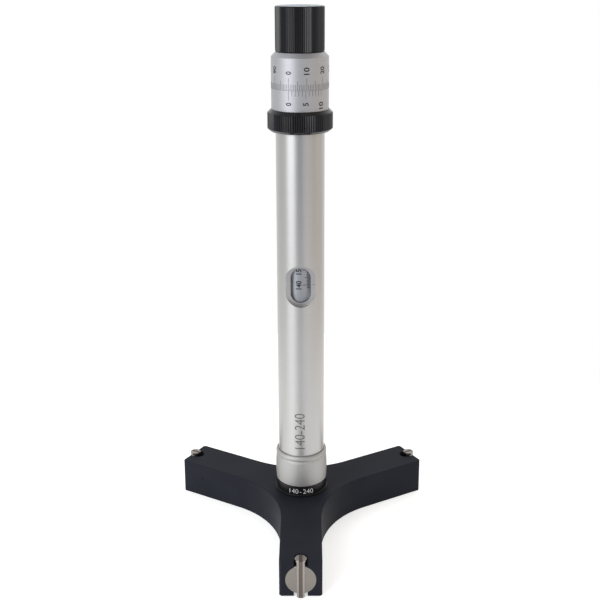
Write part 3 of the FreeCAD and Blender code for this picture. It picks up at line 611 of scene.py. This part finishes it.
def knob_piece():
    low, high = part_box("knob")
    cap_low, cap_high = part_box("cap_disc")
    edge = high.x
    web_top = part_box("knob_screw")[1].z - SCREW_HEAD_HEIGHT - WEB_TOP_GAP
    profile = [
        (KNOB_BORE, low.z), (edge - KNOB_EDGE, low.z), (edge, low.z + KNOB_EDGE), (edge, high.z - KNOB_EDGE),
        (edge - KNOB_EDGE, high.z), (cap_high.x, high.z), (cap_high.x, cap_low.z), (SCREW_ROOM, cap_low.z),
        (SCREW_ROOM, web_top), (PIVOT_BORE, web_top), (PIVOT_BORE, web_top - WEB_HEIGHT),
        (KNOB_BORE, web_top - WEB_HEIGHT)]
    piece = fluted_turning("knob_fluted", profile, KNOB_FLUTES, KNOB_FLUTE_DEPTH)
    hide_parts("knob")
    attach(piece, "knob")


knob_piece()

# %% The lock ring
RING_FLUTES = 86
RING_FLUTE_DEPTH = 0.37 * MM
RING_TOP_CHAMFER = 1.55 * MM
RING_FOOT_CHAMFER = 1.3 * MM
RING_RUNNING_GAP = 0.05 * MM


def lock_ring_piece():
    low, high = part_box("lock_ring")
    edge = high.x
    bore = tube_radius + RING_RUNNING_GAP
    profile = [
        (bore, low.z), (edge - RING_FOOT_CHAMFER, low.z), (edge, low.z + RING_FOOT_CHAMFER),
        (edge, high.z - RING_TOP_CHAMFER), (edge - RING_TOP_CHAMFER, high.z), (bore, high.z)]
    piece = fluted_turning("lock_ring_fluted", profile, RING_FLUTES, RING_FLUTE_DEPTH)
    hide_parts("lock_ring")
    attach(piece, "lock_ring")


lock_ring_piece()

# %% [markdown]
# ## The scales
#
# A dividing engine cuts the lines and a pantograph the numerals, and paint is wiped into them. Each scale
# is one thin piece that lies on its sleeve. A line is a box cut to its length, and a numeral is a text
# made a mesh and brought to its size. Both are drawn flat, joined, split finely and rolled round the
# sleeve, so that they follow the curve. Without the fine split, the middle of a wide stroke would sink
# below the round.
#
# The fill is a matt paint with a fine grain: black on the bright sleeves, white on the black hub. The
# range on the tube is laser marked, which is a dark grey.

# %% Fill paints
FILL_GRAIN_HEIGHT = 0.003 * MM


def fill_paint(name, base, light):
    finish, tree, shader = new_finish(name, base, metallic=0.0, roughness=0.6)
    grain = pattern(tree, scale=8.0, detail=2.0)
    tree.links.new(tinted(tree, grain, base, light), shader.inputs["Base Color"])
    roughen(tree, shader, grain, FILL_GRAIN_HEIGHT, strength=0.4)
    return finish


# The black fill also paints the shade in the window's edge.
black_fill_and_painted_shade = fill_paint("black_fill_and_painted_shade", base=(0.012, 0.012, 0.013), light=(0.02, 0.02, 0.021))
white_fill = fill_paint("white_fill", base=(0.86, 0.86, 0.85), light=(0.90, 0.90, 0.89))
laser_grey = fill_paint("laser_grey", base=(0.10, 0.097, 0.094), light=(0.15, 0.147, 0.143))

# %% Flat lines and numerals
LINE_WIDTH = 0.15 * MM
LINE_DEPTH = 0.04 * MM
LONGEST_STEP = 0.7 * MM
CURVE_STEPS = 4


def thin_box(place, width, length):
    """A box as deep as an engraved line, centred on its place, with its place and size in its mesh."""
    bpy.ops.object.select_all(action="DESELECT")
    bpy.ops.mesh.primitive_cube_add(size=1, location=place, scale=(width, LINE_DEPTH, length))
    box = bpy.context.object
    bpy.ops.object.transform_apply(location=True, rotation=True, scale=True)
    return box


def flat_line(x, z, length):
    """A line of a scale, which stands on z and runs up by its length."""
    return thin_box((x, 0, z + length / 2), LINE_WIDTH, length)


def flat_numerals(words, x, z, height, width, upright, weight, gap=1.0):
    """Numerals centred on x, z. Upright ones read along x, others upwards. Weight thickens the strokes.

    Gap is the width of a space between words, as a share of the font's own.
    """
    bpy.ops.object.select_all(action="DESELECT")
    bpy.ops.object.text_add()
    text = bpy.context.object
    text.data.body = words
    text.data.extrude = LINE_DEPTH / 2
    text.data.offset = weight
    text.data.space_word = gap
    text.data.resolution_u = CURVE_STEPS
    bpy.ops.object.convert(target="MESH")
    piece = bpy.context.object
    low = [min(v.co[i] for v in piece.data.vertices) for i in (0, 1)]
    high = [max(v.co[i] for v in piece.data.vertices) for i in (0, 1)]
    for vertex in piece.data.vertices:
        along = (vertex.co.x - (low[0] + high[0]) / 2) / (high[0] - low[0]) * width
        rise = (vertex.co.y - (low[1] + high[1]) / 2) / (high[1] - low[1]) * height
        depth = -vertex.co.z
        if upright:
            vertex.co = (x + along, depth, z + rise)
        else:
            vertex.co = (x - rise, depth, z + along)
    return piece


# %% Joining, splitting, rolling and filling


def join_as(name, pieces):
    bpy.ops.object.select_all(action="DESELECT")
    for piece in pieces:
        piece.select_set(True)
    bpy.context.view_layer.objects.active = pieces[0]
    bpy.ops.object.join()
    whole = bpy.context.object
    whole.name = name
    whole.data.name = name
    return whole


def split_finely(piece, longest):
    """Halves the edges that run further round the arc than the longest allowed, until none is left."""
    cuts = True
    while cuts:
        bpy.ops.object.mode_set(mode="EDIT")
        bpy.ops.mesh.select_mode(type="EDGE")
        bpy.ops.mesh.select_all(action="DESELECT")
        bpy.ops.object.mode_set(mode="OBJECT")
        points = piece.data.vertices
        cuts = False
        for edge in piece.data.edges:
            first, second = (points[index].co for index in edge.vertices)
            edge.select = abs(first.x - second.x) > longest
            cuts = cuts or edge.select
        bpy.ops.object.mode_set(mode="EDIT")
        if cuts:
            bpy.ops.mesh.subdivide(number_cuts=1)
        bpy.ops.object.mode_set(mode="OBJECT")


def roll_round(piece, radius):
    """Rolls a flat drawing round the column: x becomes the arc, and y = 0 comes to lie on the radius."""
    for vertex in piece.data.vertices:
        turn = vertex.co.x / radius
        reach = radius - vertex.co.y
        vertex.co = (reach * math.sin(turn), -reach * math.cos(turn), vertex.co.z)


def finish_marks(piece, fill, body):
    """Paints the marks and lets them ride on the body that carries them."""
    piece.data.materials.clear()
    piece.data.materials.append(fill)
    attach(piece, body)
    print(piece.name, len(piece.data.polygons), "faces")


# %% [markdown]
# ### The range
#
# The instrument says which bores it measures in two places: large and upwards on the tube, and small round
# the hub. A negative weight thins the strokes of the built-in font, because an engraver's letter is a
# single thin stroke.

# %% The range on the tube and on the hub
TUBE_RANGE_TURN = math.radians(-3.3)
TUBE_RANGE_HEIGHT = 53.65 * MM
HUB_RANGE_HEIGHT = 21.3 * MM


def range_text(name, text, radius, fill):
    split_finely(text, LONGEST_STEP)
    roll_round(text, radius)
    text.name = name
    finish_marks(text, fill, "frame")


range_text("tube_range",
           flat_numerals("140-240", TUBE_RANGE_TURN * tube_radius, TUBE_RANGE_HEIGHT, height=5.0 * MM,
                         width=19.1 * MM, upright=False, weight=-0.006),
           tube_radius, laser_grey)
range_text("hub_range",
           flat_numerals("140 - 240", 0, HUB_RANGE_HEIGHT, height=2.45 * MM,
                         width=12.2 * MM, upright=True, weight=-0.016, gap=0.4),
           hub_radius, white_fill)

# %% [markdown]
# ### The thimble
#
# One turn of the thimble is a millimetre of bore, so its hundred lines are hundredths. Every fifth line is
# longer, and every tenth is the longest and carries its number, which reads upwards. The zero lies a
# little left of the front, where the vernier's zero is.

# %% The thimble's hundred divisions
ZERO_TURN = math.radians(-22.5)
THIMBLE_DIVISIONS = 100
JOINT_MARGIN = 0.1 * MM
THIMBLE_LINES = {0: 5.5 * MM, 5: 4.1 * MM}
THIMBLE_SHORT_LINE = 2.6 * MM
THIMBLE_NUMERALS = 7.05 * MM
NUMERAL_HEIGHT = 2.6 * MM
NUMERAL_WEIGHT = 0.022
ONE_DIGIT = 1.5 * MM
TWO_DIGITS = 3.3 * MM


def thimble_scale():
    step = 2 * math.pi / THIMBLE_DIVISIONS
    marks = []
    for index in range(THIMBLE_DIVISIONS):
        turn = math.remainder(ZERO_TURN + index * step, 2 * math.pi)
        length = THIMBLE_LINES.get(index % 10, THIMBLE_SHORT_LINE)
        if index % 10 == 0:
            width = ONE_DIGIT if index == 0 else TWO_DIGITS
            middle = joint_line + THIMBLE_NUMERALS + width / 2
            marks.append(flat_numerals(str(index), turn * thimble_radius, middle, NUMERAL_HEIGHT, width,
                                       upright=False, weight=NUMERAL_WEIGHT))
        marks.append(flat_line(turn * thimble_radius, joint_line + JOINT_MARGIN, length))
    scale = join_as("thimble_scale", marks)
    split_finely(scale, LONGEST_STEP)
    roll_round(scale, thimble_radius)
    finish_marks(scale, black_fill_and_painted_shade, "spindle")


thimble_scale()

# %% [markdown]
# ### The vernier
#
# Ten divisions of the vernier span nineteen of the thimble, so one of its lines always meets a line above
# it and tells the thousandths. Its lines hang from the joint with the thimble.

# %% The vernier's ten divisions
VERNIER_SPAN = math.radians(68.4)
VERNIER_DIVISIONS = 10
VERNIER_LINES = {0: 4.4 * MM, 5: 3.6 * MM}
VERNIER_SHORT_LINE = 2.4 * MM
VERNIER_NUMERALS = 5.3 * MM


def vernier_scale():
    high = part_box("vernier_sleeve")[1]
    top, radius = high.z, high.x
    marks = []
    for index in range(VERNIER_DIVISIONS + 1):
        turn = ZERO_TURN + VERNIER_SPAN * index / VERNIER_DIVISIONS
        length = VERNIER_LINES.get(index, VERNIER_SHORT_LINE)
        marks.append(flat_line(turn * radius, top - length, length))
        if index % 5 == 0:
            width = TWO_DIGITS if index == VERNIER_DIVISIONS else ONE_DIGIT
            middle = top - VERNIER_NUMERALS - width / 2
            marks.append(flat_numerals(str(index), turn * radius, middle, NUMERAL_HEIGHT, width,
                                       upright=False, weight=NUMERAL_WEIGHT))
    scale = join_as("vernier_scale", marks)
    split_finely(scale, LONGEST_STEP)
    roll_round(scale, radius)
    finish_marks(scale, black_fill_and_painted_shade, "vernier")


vernier_scale()

# %% [markdown]
# ### The scale behind the window
#
# A sleeve inside the tube travels down by three quarters of a millimetre for each millimetre of bore, and
# the window shows the part of its scale that counts. It is engraved for the whole range, with two spare
# lines below, so that it reads right wherever the sleeve stands.

# %% The scale behind the window
SCALE_PITCH = 0.75 * MM
SCALE_START = 129.0 * MM
LOWEST_READING = 140
HIGHEST_READING = 240
SPARE_LINES = 2
SCALE_LINES = {0: 4.7 * MM, 5: 3.6 * MM}
SCALE_SHORT_LINE = 2.6 * MM
SCALE_LINE_WIDTH = 0.26 * MM
SCALE_RIGHT_END = 5.6 * MM
SCALE_NUMERALS = -0.9 * MM


def sleeve_scale():
    marks = []
    for reading in range(LOWEST_READING - SPARE_LINES, HIGHEST_READING + 1):
        z = SCALE_START + SCALE_PITCH * (reading - LOWEST_READING)
        length = SCALE_LINES.get(reading % 10, SCALE_SHORT_LINE)
        marks.append(thin_box((SCALE_RIGHT_END - length / 2, 0, z), length, SCALE_LINE_WIDTH))
        if reading % 10 == 0:
            marks.append(flat_numerals(str(reading), SCALE_NUMERALS, z, height=2.7 * MM, width=4.3 * MM,
                                       upright=False, weight=0.03))
    scale = join_as("sleeve_scale", marks)
    split_finely(scale, LONGEST_STEP)
    roll_round(scale, sleeve_radius)
    finish_marks(scale, black_fill_and_painted_shade, "indicator")


sleeve_scale()

# %% [markdown]
# ### The index line and the painted shade in the window's edge
#
# The scale is read against one short line on the flat that is milled round the window. The slot's edge
# lies in shade, and that shade is painted: a thin ring of black fill lies in the edge. A circle is pulled
# apart into the outline of the slot, inset, emptied and pushed in.

# %% The index line beside the window
INDEX_HEIGHT = 129.5 * MM
INDEX_START = 5.2 * MM
INDEX_END = 7.0 * MM
FLAT_Y = -9.0 * MM


def index_line():
    middle = (INDEX_START + INDEX_END) / 2
    line = thin_box((middle, FLAT_Y, INDEX_HEIGHT), INDEX_END - INDEX_START, LINE_WIDTH)
    line.name = "index_line"
    finish_marks(line, laser_grey, "frame")


index_line()

# %% The painted shade in the window's edge
WINDOW_HEIGHT = 128.95 * MM
WINDOW_WIDTH = 9.6 * MM
WINDOW_LENGTH = 17.2 * MM
WINDOW_SIDES = 64
SHADE_RING_WIDTH = 0.16 * MM
SHADE_RING_DEPTH = 0.06 * MM


# A thin black ring in the slot's edge, which is painted shade.
def window_edge():
    bpy.ops.object.select_all(action="DESELECT")
    bpy.ops.mesh.primitive_circle_add(radius=WINDOW_WIDTH / 2, vertices=WINDOW_SIDES, fill_type="NGON",
                                      location=(0, FLAT_Y, WINDOW_HEIGHT), rotation=(math.pi / 2, 0, 0))
    bpy.ops.object.transform_apply(location=True, rotation=True, scale=True)
    edge = bpy.context.object
    stretch = (WINDOW_LENGTH - WINDOW_WIDTH) / 2
    for vertex in edge.data.vertices:
        vertex.co.z += math.copysign(stretch, vertex.co.z - WINDOW_HEIGHT)
    bpy.ops.object.mode_set(mode="EDIT")
    bpy.ops.mesh.select_mode(type="FACE")
    bpy.ops.mesh.select_all(action="SELECT")
    bpy.ops.mesh.inset(thickness=SHADE_RING_WIDTH)
    bpy.ops.mesh.delete(type="FACE")
    bpy.ops.mesh.select_all(action="SELECT")
    bpy.ops.mesh.extrude_region_move(TRANSFORM_OT_translate={"value": (0, SHADE_RING_DEPTH, 0)})
    bpy.ops.mesh.select_all(action="SELECT")
    bpy.ops.mesh.normals_make_consistent(inside=False)
    bpy.ops.object.mode_set(mode="OBJECT")
    edge.name = "window_edge"
    finish_marks(edge, black_fill_and_painted_shade, "frame")


window_edge()

# %% [markdown]
# ## The last look
#
# The dressed model must be as large as the CAD model, so the last line prints by how much its box
# differs from the CAD model's box.

# %% The two boxes
own_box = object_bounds()
own_size = own_box[1] - own_box[0]
cad_size = cad_box[1] - cad_box[0]
print("grown by", [round((own - cad) / MM, 3) for own, cad in zip(own_size, cad_size)], "mm")
